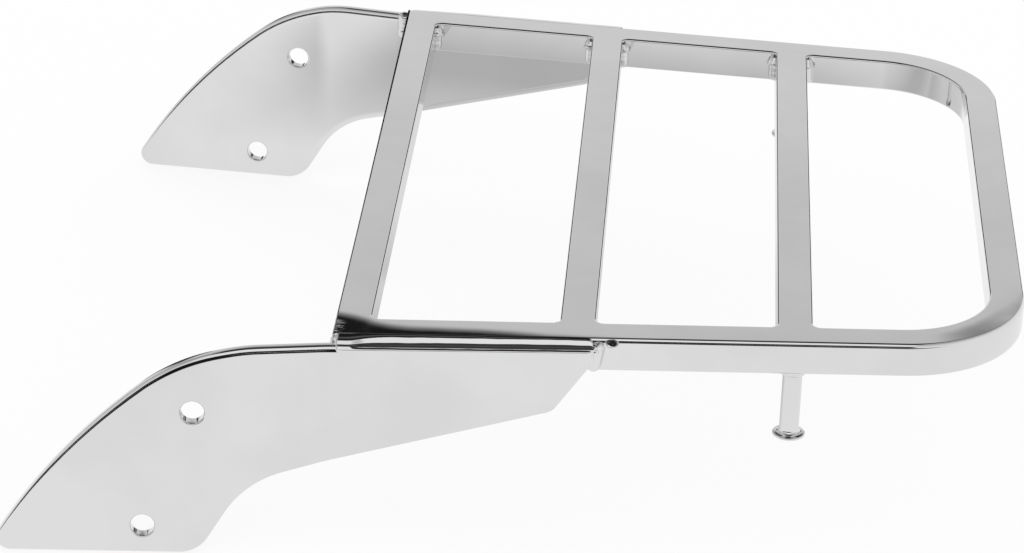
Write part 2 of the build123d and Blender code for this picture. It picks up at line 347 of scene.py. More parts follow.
def sweep_to(start: Vector, end: Vector, heading: Vector, step_deg: float = 1.6, fewest: int = 6) -> Vector:
    """Spin the selected point along the arc that leaves start along heading and meets end.

    Args:
        start: Where the point is, in the plane y = 0.
        end: Where the arc ends.
        heading: Direction at the start.
        step_deg: Largest turn in one step.
        fewest: Steps that even a short arc gets.

    Returns:
        Direction at the end.
    """
    heading = heading.normalized()
    centre, _ = arc_centre(start, end, heading)
    chord = end - start
    angle = 2 * math.atan2(chord.dot(Vector((-heading.z, 0.0, heading.x))), chord.dot(heading))
    turn_round(centre, angle, max(fewest, int(abs(math.degrees(angle)) / step_deg)), axis=TO_LEFT)
    return Matrix.Rotation(angle, 3, Vector(TO_LEFT)) @ heading


def rounding(before: Corner, corner: Corner, after: Corner) -> tuple[Vector, Vector]:
    """Where the arc that rounds a corner between two straight sides starts and ends.

    Args:
        before: The corner before it.
        corner: The corner to round.
        after: The corner after it.

    Returns:
        The arc's first and last points, in metres.
    """
    here = corner.point()
    back = (before.point() - here).normalized()
    on = (after.point() - here).normalized()
    reach = mm(corner.radius) / math.tan(back.angle(on) / 2)
    return here + back * reach, here + on * reach


def set_point(place: Vector) -> None:
    """In edit mode, set down one selected point, from a small plane merged to its middle."""
    bpy.ops.mesh.primitive_plane_add(size=mm(1.0), location=place)
    bpy.ops.mesh.merge(type="CENTER")


def run_round(here: Vector, corners: Sequence[Corner]) -> Vector:
    """Extrude and spin the selected point round the inner ones of some corners.

    Args:
        here: Where the point is.
        corners: The corner before, those to go round, and the one after.

    Returns:
        Where the point ends.
    """
    for before, corner, after in zip(corners, corners[1:], corners[2:]):
        arc_in, arc_out = rounding(before, corner, after)
        push_out(arc_in - here)
        if corner.radius > 0.0:
            sweep_to(arc_in, arc_out, corner.point() - before.point())
        here = arc_out
    return here


def trace_loop(corners: Sequence[Corner]) -> None:
    """In edit mode, trace one closed outline with rounded corners, from the end of its first corner."""
    start = rounding(corners[-1], corners[0], corners[1])[1]
    set_point(start)
    run_round(start, [*corners, corners[0], corners[1]])


def fill_outlines() -> None:
    """In edit mode, close every traced outline to a face, with the inner ones as openings."""
    merge_points(reach=1e-5)
    bpy.ops.mesh.fill(use_beauty=True)
    bpy.ops.mesh.dissolve_limited(angle_limit=math.radians(0.5))


def empty_piece() -> Piece:
    """A piece with nothing in its mesh yet, to trace outlines in."""
    clear_selection()
    bpy.ops.mesh.primitive_plane_add(size=mm(1.0))
    piece = bpy.context.object
    with editing(piece):
        pick_all()
        bpy.ops.mesh.delete(type="VERT")
    return piece


def is_rim(edge: Edge) -> bool:
    """Whether an edge runs between a broad face and the thickness of a plate that was pushed out along y."""
    flat = abs(edge.verts[0].co.y - edge.verts[1].co.y) < 1e-7
    return flat and len(edge.link_faces) == 2 and edge.calc_face_angle(0.0) > RIM_TURN


# Finishes


def add_node(tree: Tree, kind: str, settings: dict | None = None, **links: object) -> bpy.types.Node:
    """Add a shader node with its settings and inputs.

    Args:
        tree: The node tree.
        kind: The name of the node type.
        settings: Attributes of the node to set.
        links: Inputs by name with underscores for spaces, or by number after an i; an output socket is
            linked, anything else is set.

    Returns:
        The new node.
    """
    node = tree.nodes.new(kind)
    for key, value in (settings or {}).items():
        setattr(node, key, value)
    for name, value in links.items():
        by_number = name[0] == "i" and name[1:].isdigit()
        socket = node.inputs[int(name[1:]) if by_number else name.replace("_", " ")]
        if isinstance(value, Socket):
            tree.links.new(value, socket)
        else:
            socket.default_value = value
    return node


def calc(tree: Tree, operation: str, *values: object) -> Socket:
    """Work out one sum in a shader.

    Args:
        tree: The node tree.
        operation: The name of the sum, such as MULTIPLY.
        values: Sockets or numbers, in the sum's order.

    Returns:
        The result's socket.
    """
    inputs = {f"i{number}": value for number, value in enumerate(values)}
    return add_node(tree, "ShaderNodeMath", {"operation": operation}, **inputs).outputs["Value"]


def ramp(tree: Tree, value: Socket, reach: Span, tones: Span = RISING, smooth: bool = True) -> Socket:
    """Turn a value into a tone.

    Args:
        tree: The node tree.
        value: The value, such as a distance in metres.
        reach: Where the change starts and ends.
        tones: Tones at the start and the end.
        smooth: Whether the change eases in and out.

    Returns:
        The tone's socket.
    """
    kind = {"interpolation_type": "SMOOTHSTEP" if smooth else "LINEAR"}
    node = add_node(tree, "ShaderNodeMapRange", kind, Value=value)
    for name, amount in zip(("From Min", "From Max", "To Min", "To Max"), (*reach, *tones)):
        node.inputs[name].default_value = amount
    return node.outputs["Result"]


def patch(tree: Tree, *edges: tuple) -> Socket:
    """Multiply several ramps, each given as ramp takes it after the tree, to the share of one patch."""
    share = ramp(tree, *edges[0])
    for edge in edges[1:]:
        share = calc(tree, "MULTIPLY", share, ramp(tree, *edge))
    return share


def noise(tree: Tree, place: Socket, size: float, detail: float, roughness: float = 0.5) -> Socket:
    """Cloudy noise from 0 to 1 whose clouds are about size millimetres across."""
    scale = 1000.0 / size
    node = add_node(tree, "ShaderNodeTexNoise", Vector=place, Scale=scale, Detail=detail, Roughness=roughness)
    return node.outputs["Fac"]


def bump(tree: Tree, height: Socket, depth: float, **below: Socket) -> Socket:
    """Lean the normals by a height pattern of some depth, in metres, over the Normal that is there already."""
    return add_node(tree, "ShaderNodeBump", Height=height, Strength=1.0, Distance=depth, **below).outputs["Normal"]


def fresh_material(name: str) -> tuple[bpy.types.Material, Tree]:
    """An empty node material and its tree."""
    material = bpy.data.materials.new(name)
    material.use_nodes = True
    material.node_tree.nodes.clear()
    return material, material.node_tree


@dataclass(frozen=True)
class ChromePlate:
    """Bright chrome plate over polished steel: a near mirror with the polisher's slow waves and faint wipe haze.

    Sizes and depths are in millimetres. The colours mix in clouds, and the haze comes in wipes.
    """

    name: str = "chrome plate over polished steel"
    colour: str = "#E0E0E1"
    mottle: str = "#DADADB"
    cloud_size: float = 55.0
    roughness: float = 0.03
    haze: float = 0.035
    wipe_size: float = 30.0
    wave_size: float = 16.0
    wave_depth: float = 0.04
    fleck_size: float = 1.3
    fleck_depth: float = 0.0
    ground: bool = False

    def make(self) -> bpy.types.Material:
        """Build the material.

        Returns:
            The material, its patterns sized from the object's own millimetres.
        """
        material, tree = fresh_material(self.name)
        place = add_node(tree, "ShaderNodeTexCoord").outputs["Object"]
        wipe = noise(tree, place, self.wipe_size, detail=4.0, roughness=0.65)
        dull = ramp(tree, wipe, (0.45, 0.75), (self.roughness, self.roughness + self.haze), smooth=False)
        wave = noise(tree, place, self.wave_size, detail=2.0, roughness=0.4)
        normal = bump(tree, wave, mm(self.wave_depth))
        if self.fleck_depth > 0.0:
            fleck = noise(tree, place, self.fleck_size, detail=1.0)
            normal = bump(tree, fleck, mm(self.fleck_depth), Normal=normal)
        if self.ground:
            normal = GroundTop().lean(tree, place, normal)
        cloud = noise(tree, place, self.cloud_size, detail=3.0, roughness=0.6)
        cloudy = ramp(tree, cloud, (0.4, 0.66), smooth=False)
        tints = {"i0": cloudy, "i6": hex_colour(self.colour), "i7": hex_colour(self.mottle)}
        colour = add_node(tree, "ShaderNodeMix", {"data_type": "RGBA"}, **tints).outputs[2]
        shader = add_node(
            tree, "ShaderNodeBsdfPrincipled", Base_Color=colour, Metallic=1.0, Roughness=dull, Normal=normal
        )
        add_node(tree, "ShaderNodeOutputMaterial", Surface=shader.outputs["BSDF"])
        return material


@dataclass(frozen=True)
class GroundTop:
    """Where the frame's top isn't level: at the ground left front corner and round the left rear bend.

    It leans the normals only, and leaves the geometry flat. Sizes are in millimetres.
    """

    plan: RackPlan = PLAN
    front_deg: float = 5.0
    front_soft: float = 5.2
    crease_x: Span = (-90.0, -10.0)
    crease_y: Span = (135.0, 155.0)
    crease: tuple[Span, ...] = (
        (-90.0, 138.4), (-82.2, 140.0), (-75.9, 142.3), (-69.2, 145.9),
        (-61.9, 147.5), (-44.3, 147.2), (-28.0, 147.0), (-10.0, 148.2),
    )
    rear_deg: float = 3.8
    rear_soft: float = 4.0
    rear_inset: float = 2.5
    rear_along: Span = (118.0, 146.0)
    rear_out: Span = (84.0, 112.0)
    mark_size: float = 1.3
    mark_depth: float = 0.2
    marks_along: Span = (-80.5, -84.5)
    marks_beyond: Span = (4.0, 8.0)

    def lean(self, tree: Tree, place: Socket, normal: Socket) -> Socket:
        """Lean the top outwards at both corners, and put finger marks on the front one.

        Args:
            tree: The node tree.
            place: Object coordinates.
            normal: The normals so far.

        Returns:
            The leaned normals' socket.
        """
        parts = add_node(tree, "ShaderNodeSeparateXYZ", Vector=place)
        x, beside = parts.outputs["X"], calc(tree, "MULTIPLY", parts.outputs["Y"], -1.0)
        beyond = calc(tree, "SUBTRACT", beside, self.crease_line(tree, x))
        front = self.fall(tree, beyond, self.front_soft, self.front_deg)
        fall = calc(tree, "ADD", front, self.rear_fall(tree, place, x, beside))
        leaned = bump(tree, fall, 1.0, Normal=normal)
        where = patch(
            tree, (beyond, mm_both(self.marks_beyond)), (x, mm_both(self.marks_along), RISING, False)
        )
        drawn = add_node(tree, "ShaderNodeMapping", Vector=place, Scale=(0.6, 1.0, 1.0)).outputs["Vector"]
        finger = noise(tree, drawn, self.mark_size, detail=1.0)
        return bump(tree, calc(tree, "MULTIPLY", finger, where), mm(self.mark_depth), Normal=leaned)

    def crease_line(self, tree: Tree, x: Socket) -> Socket:
        """How far out the level top ends at each station along the rail, in metres."""
        (x0, x1), (y0, y1) = self.crease_x, self.crease_y
        curve = add_node(tree, "ShaderNodeFloatCurve", Value=ramp(tree, x, (mm(x0), mm(x1)), smooth=False))
        points = curve.mapping.curves[0].points
        while len(points) < len(self.crease):
            points.new(0.5, 0.5)
        for point, (along, out) in zip(points, self.crease):
            point.location = ((along - x0) / (x1 - x0), (out - y0) / (y1 - y0))
        curve.mapping.update()
        return ramp(tree, curve.outputs["Value"], WHOLE, (mm(y0), mm(y1)), smooth=False)

    def rear_fall(self, tree: Tree, place: Socket, x: Socket, beside: Socket) -> Socket:
        """Height that falls away towards the outer edge round the left rear bend, in metres."""
        plan = self.plan
        across = plan.rail_centre(plan.end_x - plan.bend_radius) - plan.bend_radius / math.cos(plan.taper)
        centre = (mm(plan.bend_radius - plan.end_x), mm(across), 0.0)
        moved = add_node(tree, "ShaderNodeMapping", Vector=place, Location=centre, Scale=(1.0, 1.0, 0.0))
        length = {"operation": "LENGTH"}
        radius = add_node(tree, "ShaderNodeVectorMath", length, i0=moved.outputs["Vector"]).outputs["Value"]
        beyond = calc(tree, "SUBTRACT", radius, mm(plan.bend_radius - self.rear_inset))
        where = patch(tree, (x, mm_both(self.rear_along)), (beside, mm_both(self.rear_out)))
        return calc(tree, "MULTIPLY", self.fall(tree, beyond, self.rear_soft, self.rear_deg), where)

    @staticmethod
    def fall(tree: Tree, beyond: Socket, soft: float, degrees: float) -> Socket:
        """Height that falls by an angle past a line, with the bend at the line softened over some millimetres."""
        eased = calc(tree, "SMOOTH_MAX", beyond, 0.0, mm(soft))
        return calc(tree, "MULTIPLY", eased, -math.tan(math.radians(degrees)))


class Finish(Enum):
    """The finishes on this rack."""

    # A near mirror that shows the studio's dark and light zones with slow soft waves
    TUBE = ChromePlate()
    # The same mirror, with a dark sweep where the top leans
    FRAME = ChromePlate(name="chrome plate over tube ground at a front corner", ground=True)
    # Smooth and a little wavy, so that its highlights wander along the seam
    SEAM = ChromePlate(
        name="chrome plate over a dressed weld",
        roughness=0.05,
        wave_size=6.0,
        wave_depth=0.06,
        fleck_size=2.2,
        fleck_depth=0.012,
    )
    # Satin and lumpy, so that it breaks up into many small lights and darks
    WELD = ChromePlate(
        name="chrome plate over a rippled weld bead",
        roughness=0.16,
        wave_size=2.6,
        wave_depth=0.12,
        fleck_size=0.9,
        fleck_depth=0.04,
    )


class Rack:
    """Keeps the finishes and puts them on pieces."""

    def __init__(self) -> None:
        """Make each finish once."""
        self.finishes = {finish: finish.value.make() for finish in Finish}

    def stand_for(self, piece: Piece, finish: Finish, slot: str, *nodes: str) -> None:
        """Give a modelled piece its finish and let it take the place of solids, ride on the rack and be logged."""
        piece.data.materials.clear()
        piece.data.materials.append(self.finishes[finish])
        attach(piece, ROOT)
        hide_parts(*nodes)
        log.info("%s stands for %s: %d faces", piece.name, ", ".join(nodes), len(piece.data.polygons))


# The frame of tube


@dataclass
class TubeFrame:
    """The bent outer rail and three crossbars, welded, ground flush at the joints and plated as one.

    The outer edge is rounded in a mesh that is shallower by drawn, and then drawn out to the tube's depth,
    so it is rounder down the side than across the top.
    """

    plan: RackPlan = PLAN
    web_radius: float = 3.0
    front_corner_radius: float = 0.5
    outer_edge_radius: float = 1.05
    drawn: float = 2.1
    inner_edge_radius: float = 0.9
    front_edge_radius: float = 0.65

    def windows(self) -> list[list[Corner]]:
        """The openings between the crossbars in plan, with the weld's small webs in their corners.

        Returns:
            One outline for each opening, from front to rear.
        """
        plan = self.plan
        half = plan.tube / 2
        web = self.web_radius
        bend = plan.bend_radius - half
        bars = ((plan.front_bar_x, 0.0, web), (0.0, plan.rear_bar_x, web), (plan.rear_bar_x, plan.end_x, bend))
        outlines = []
        for front, back, rear_radius in bars:
            x0, x1 = front + half, back - half
            y0, y1 = plan.rail_inner(x0), plan.rail_inner(x1)
            rear = [Corner(x1, -y1, rear_radius), Corner(x1, y1, rear_radius)]
            outlines.append([Corner(x0, -y0, web), *rear, Corner(x0, y0, web)])
        return outlines

    def outline(self) -> list[Corner]:
        """The rack's outer outline in plan."""
        plan = self.plan
        x0, x1 = plan.front_face_x, plan.end_x + plan.tube / 2
        y0, y1 = plan.rail_outer(x0), plan.rail_outer(x1)
        bend = plan.bend_radius + plan.tube / 2
        front = self.front_corner_radius
        return [Corner(x0, -y0, front), Corner(x1, -y1, bend), Corner(x1, y1, bend), Corner(x0, y0, front)]

    def on_outside(self, edge: Edge) -> bool:
        """Whether a rim edge is on the rack's outer outline rather than round an opening."""
        plan = self.plan
        reach = 0.25 * plan.tube
        for vertex in edge.verts:
            x, y = to_mm(vertex.co.x), abs(to_mm(vertex.co.z))
            if x > plan.end_x + reach or (y > plan.rail_centre(x) + reach and x > plan.front_face_x + 1.0):
                return True
        x, y = to_mm(edge.verts[0].co.x), abs(to_mm(edge.verts[0].co.z))
        past_bend = x - plan.end_x + plan.bend_radius
        from_bend = y - plan.rail_centre(plan.end_x) + plan.bend_radius
        return past_bend > 0.0 and math.hypot(past_bend, from_bend) > plan.bend_radius + reach

    def on_front(self, edge: Edge) -> bool:
        """Whether a rim edge is on the front crossbar's front face."""
        return all(to_mm(vertex.co.x) < self.plan.front_face_x + 1.0 for vertex in edge.verts)

    def build(self, rack: Rack) -> None:
        """Trace the plan, push it out to the tube's depth, round every long edge and lay it flat."""
        skin = empty_piece()
        with editing(skin):
            trace_loop(self.outline())
            for window in self.windows():
                trace_loop(window)
            fill_outlines()
            pick_all()
            push_out(spot(0.0, self.plan.tube / self.drawn, 0.0))
            heal()
            pick("EDGE", lambda edge: is_rim(edge) and self.on_outside(edge))
            round_edges(self.outer_edge_radius, segments=8)
            pick_all()
            bpy.ops.transform.resize(value=(1.0, self.drawn, 1.0), center_override=(0.0, 0.0, 0.0))
            pick("EDGE", lambda edge: is_rim(edge) and not self.on_outside(edge) and not self.on_front(edge))
            round_edges(self.inner_edge_radius, segments=4)
            pick("EDGE", lambda edge: is_rim(edge) and self.on_front(edge))
            round_edges(self.front_edge_radius, segments=3)
        take_up(skin)
        skin.rotation_euler.x = -QUARTER
        settle(skin)
        finish_surface(skin, "welded_tube_frame")
        bars = ("front_crossbar", "middle_crossbar", "rear_crossbar")
        rack.stand_for(skin, Finish.FRAME, "chrome", "outer_rail", *bars)


# The side plates


@dataclass
class SidePlate:
    """A swept side plate of 4.5 mm steel with an outward joggle and two bolt holes."""

    plan: RackPlan = PLAN
    thickness: float = 4.5
    buff_edge: float = 1.3
    buff_face: float = 3.0
    buff_steps: int = 6
    tail_top: Corner = Corner(6.3, -2.3)
    crest_end: Corner = Corner(-111.2, -3.2)
    shoulder_mid: Corner = Corner(-151.8, -17.8)
    toe: Corner = Corner(-207.6, -85.0, 5.0)
    heel: Corner = Corner(-132.4, -85.0, 12.0)
    bay: Corner = Corner(-115.7, -56.6, 34.0)
    tail_corner: Corner = Corner(-7.5, -27.4, 6.0)
    tail_low: Corner = Corner(6.3, -7.6)
    joggle: float = 3.7
    joggle_rear: float = -87.0
    joggle_front: float = -123.0
    joggle_radius: float = 60.0
    bend_cuts: tuple[float, ...] = (4.0, 2.67, 1.33, 0.0, -1.33, -2.67, -4.0)
    hole_radius: float = 4.25
    holes: tuple[Corner, ...] = (Corner(-134.1, -28.2), Corner(-151.9, -73.8))
    hole_break: float = 0.7

    def joggle_at(self, u: float) -> float:
        """How far the plate stands out at a station along the rail, by two bends and the slope between them."""
        bend = self.joggle_radius
        rise = math.atan2(self.joggle, self.joggle_rear - self.joggle_front)
        reach = bend * math.tan(rise / 2)
        run = self.joggle_rear - u
        if run <= -reach:
            return 0.0
        if run < reach * math.cos(rise):
            return bend - math.sqrt(bend**2 - (run + reach) ** 2)
        left = u - self.joggle_front
        if left <= -reach:
            return self.joggle
        if left < reach * math.cos(rise):
            return self.joggle - bend + math.sqrt(bend**2 - (left + reach) ** 2)
        return run * math.tan(rise)

    def trace(self) -> Piece:
        """Trace the outline from one point by extruding and spinning it, and fill it.

        Returns:
            The flat plate, upright in the plane y = 0.
        """
        plate = empty_piece()
        with editing(plate):
            start = self.crest_end.point()
            set_point(start)
            heading = sweep_to(start, self.shoulder_mid.point(), start - self.tail_top.point())
            toe_in, toe_out = self.toe_rounding(heading)
            heading = sweep_to(self.shoulder_mid.point(), toe_in, heading)
            sweep_to(toe_in, toe_out, heading)
            here = run_round(toe_out, [self.toe, self.heel, self.bay, self.tail_corner, self.tail_low])
            push_out(self.tail_low.point() - here)
            push_out(self.tail_top.point() - self.tail_low.point())
            push_out(start - self.tail_top.point())
            fill_outlines()
        return plate

    def toe_rounding(self, heading: Vector) -> tuple[Vector, Vector]:
        """Where the arc starts and ends that rounds the toe between the shoulder's last arc and the bottom edge.

        Args:
            heading: Direction of the shoulder at its middle point.

        Returns:
            The arc's first and last points, in metres.
        """
        end = self.toe.point()
        centre, radius = arc_centre(self.shoulder_mid.point(), end, heading)
        small = mm(self.toe.radius)
        reach = abs(radius) - small
        height = end.z + small - centre.z
        middle = Vector((centre.x - math.sqrt(reach**2 - height**2), 0.0, end.z + small))
        return centre + (middle - centre).normalized() * abs(radius), Vector((middle.x, 0.0, end.z))

    def buff(self, y: float) -> None:
        """Round the rim of the broad face at y by insets that follow a buffed edge's quarter ellipse."""
        pick("FACE", lambda face: abs(face.normal.y) > 0.99 and abs(face.calc_center_median().y - y) < 1e-6)
        turns = [QUARTER * i / self.buff_steps for i in range(self.buff_steps + 1)]
        for one, two in zip(turns, turns[1:]):
            inwards = mm(self.buff_face) * (math.cos(one) - math.cos(two))
            outwards = mm(self.buff_edge) * (math.sin(two) - math.sin(one))
            bpy.ops.mesh.inset(thickness=inwards, depth=outwards, use_even_offset=True)

    def near_hole(self, edge: Edge) -> bool:
        """Whether an edge is on a bolt hole's rim."""
        middle = (edge.verts[0].co + edge.verts[1].co) / 2
        flat = Vector((middle.x, 0.0, middle.z))
        return any((flat - hole.point()).length < mm(self.hole_radius * 1.2) for hole in self.holes)

    def bore(self, plate: Piece) -> None:
        """Cut the bolt holes and break their edges."""
        for hole in self.holes:
            clear_selection()
            bpy.ops.mesh.primitive_cylinder_add(
                vertices=48,
                radius=mm(self.hole_radius),
                depth=mm(40.0),
                location=hole.point(),
                rotation=(QUARTER, 0.0, 0.0),
            )
            drill = bpy.context.object
            apply_modifier(plate, "BOOLEAN", operation="DIFFERENCE", solver="EXACT", object=drill)
            take_up(drill)
            bpy.ops.object.delete()
        with editing(plate):
            pick("EDGE", lambda edge: is_rim(edge) and self.near_hole(edge))
            round_edges(self.hole_break, segments=5, strength="NONE")

    def bend(self, plate: Piece) -> None:
        """Cut the flat plate across at the joggle's bends and move it out to its place at each station."""
        with editing(plate):
            for bend in (self.joggle_rear, self.joggle_front):
                for cut in self.bend_cuts:
                    pick_all()
                    bpy.ops.mesh.bisect(plane_co=spot(bend + cut, 0.0, 0.0), plane_no=(1.0, 0.0, 0.0))
        for vertex in plate.data.vertices:
            vertex.co.y -= mm(self.joggle_at(to_mm(vertex.co.x)))

    def build(self, side: Side) -> Piece:
        """Thicken the traced plate, buff its edges, bend the joggle and put it against the rail.

        Args:
            side: The side of the rack.

        Returns:
            The plate.
        """
        plate = self.trace()
        with editing(plate):
            pick_all()
            bpy.ops.transform.translate(value=spot(0.0, -self.buff_edge, 0.0))
            push_out(spot(0.0, 2 * self.buff_edge - self.thickness, 0.0))
            heal()
            self.buff(mm(-self.buff_edge))
            self.buff(mm(self.buff_edge - self.thickness))
        self.bore(plate)
        self.bend(plate)
        seat_on_rail(plate, self.plan, side)
        return finish_surface(plate, f"{side.word}_swept_plate")


# The pegs


@dataclass
class Peg:
    """A turned peg under the rail, flaring into a thin round foot."""

    plan: RackPlan = PLAN
    shank_d: float = 7.0
    foot_d: float = 11.7
    foot_t: float = 1.1
    foot_round: float = 0.45
    flare: float = 1.8
    bottom_z: float = -39.6
    turn_steps: int = 64

    def build(self, side: Side) -> Piece:
        """Draw half the section and spin it into a solid.

        Args:
            side: The side of the rack.

        Returns:
            The peg.
        """
        plan = self.plan
        axis = spot(plan.rear_bar_x, side.value * plan.rail_centre(plan.rear_bar_x), 0.0)
        foot_top = self.bottom_z + self.foot_t
        half = self.shank_d / 2
        small = self.foot_round
        rim = self.foot_d / 2 - small
        flare_z = foot_top + self.flare
        peg = empty_piece()
        with editing(peg):
            set_point(axis + spot(half, 0.0, -plan.tube))
            push_out(spot(0.0, 0.0, flare_z + plan.tube))
            turn_round(axis + spot(half + self.flare, 0.0, flare_z), QUARTER, 8, axis=TO_LEFT)
            push_out(spot(rim - half - self.flare, 0.0, 0.0))
            turn_round(axis + spot(rim, 0.0, foot_top - small), QUARTER, 5, axis=TO_RIGHT)
            push_out(spot(0.0, 0.0, 2 * small - self.foot_t))
            turn_round(axis + spot(rim, 0.0, self.bottom_z + small), QUARTER, 5, axis=TO_RIGHT)
            push_out(spot(-rim, 0.0, 0.0))
            pick_all()
            turn_round(axis, 2 * math.pi, self.turn_steps)
            merge_points()
            pick("EDGE", lambda edge: edge.is_boundary)
            bpy.ops.mesh.edge_face_add()
        return finish_surface(peg, f"{side.word}_turned_peg")


# The welds


@dataclass
class Bead:
    """One run of weld: rings pushed out along a line, each ripple a little wider or narrower than the last."""

    start: Vector
    end: Vector
    width: float
    ripple: float = 1.25
    unevenness: float = 0.09
    dome: float = 1.0
    taper: float = 0.0
    end_size: float = 0.35
    sides: int = 14
    seed: int = 1

    def ring_size(self, along: float, length: float) -> float:
        """How wide the bead is at a point, as a share of its width, with both ends domed."""
        left = max(0.0, min(along, length - along)) / mm(self.dome * self.width / 2)
        domed = 1.0 if left >= 1.0 else max(self.end_size, math.sqrt(1.0 - (1.0 - left) ** 2))
        return domed * (1.0 - self.taper * along / length)

    def lay(self) -> Piece:
        """Push the rings out one after another and smooth the skin.

        Returns:
            The bead.
        """
        chance = random.Random(self.seed)
        run = self.end - self.start
        steps = max(6, 2 * round(run.length * 1000.0 / self.ripple))
        clear_selection()
        bpy.ops.mesh.primitive_circle_add(
            vertices=self.sides,
            radius=mm(self.width / 2) * self.end_size,
            fill_type="NGON",
            location=self.start,
            rotation=run.to_track_quat("Z", "Y").to_euler(),
        )
        bead = bpy.context.object
        settle(bead)
        with editing(bead):
            pick_all()
            here, size = self.start.copy(), self.end_size
            for i in range(1, steps + 1):
                ripple = self.unevenness * ((i % 2) - 0.5 + chance.uniform(-0.6, 0.6))
                new_size = self.ring_size(run.length * i / steps, run.length) * (1.0 + ripple)
                here += run / steps
                push_out(run / steps)
                bpy.ops.transform.resize(value=(new_size / size,) * 3, center_override=here)
                size = new_size
        smooth_skin(bead)
        return bead


def lay_beads(beads: Sequence[Bead], name: str) -> Piece:
    """Lay several beads and make them one piece.

    Args:
        beads: The beads.
        name: The piece's name.

    Returns:
        The piece.
    """
    return finish_surface(join_up([bead.lay() for bead in beads]), name, WELD_CREASE)


@dataclass
class CrossbarWelds:
    """Upright beads in the inside corners where the crossbars meet the rails, each with a lump at its top."""

    plan: RackPlan = PLAN
    width: float = 4.8
    inset: float = 0.45
    top_z: float = -0.5
    bottom_z: float = -12.3
    crown: float = 7.0
    crown_tall: float = 5.2
    crown_inset: float = 0.9

    def corner(self, x: float, face: int, side: Side, seed: int) -> list[Bead]:
        """The bead and its crown in one corner.

        Args:
            x: The crossbar's station.
            face: -1 for the crossbar's front face, 1 for its back face.
            side: The side of the rack.
            seed: Start of the bead's random draws.

        Returns:
            The two beads.
        """
        corner_x = x + face * self.plan.tube / 2

        def place(inset: float, lean: float, z: float) -> Vector:
            """A point at an inset from the rail and a share of it from the crossbar."""
            y = side.value * (self.plan.rail_inner(corner_x) - inset)
            return spot(corner_x + face * inset * lean, y, z)

        foot, head = place(self.inset, 1.0, self.bottom_z), place(self.inset, 1.0, self.top_z)
        low = place(self.crown_inset, 1.0, self.top_z - self.crown_tall)
        high = place(self.crown_inset, 0.5, self.top_z)
        crown = {"ripple": 1.5, "unevenness": 0.12, "dome": 0.15, "taper": 0.62}
        return [
            Bead(foot, head, self.width, ripple=2.6, unevenness=0.05, seed=seed),
            Bead(low, high, self.crown, seed=seed + 50, **crown),
        ]

    def build(self, rack: Rack, side: Side) -> None:
        """Lay the beads of all three crossbars on one side."""
        plan = self.plan
        bars = (("front", plan.front_bar_x, (1,)), ("middle", 0.0, (-1, 1)), ("rear", plan.rear_bar_x, (-1, 1)))
        for number, (bar, x, faces) in enumerate(bars):
            beads = []
            for face in faces:
                beads += self.corner(x, face, side, 10 * number + 3 * face + side.value)
            piece = lay_beads(beads, f"{bar}_crossbar_{side.word}_beads")
            rack.stand_for(piece, Finish.WELD, "weld", f"{bar}_crossbar_{side.word}_weld")


@dataclass(frozen=True)
class SeamStation:
    """The seam's shape at a station: how far it fills out over the plate, and how round the rail's edge is."""

    u: float
    fill: float
    edge: float


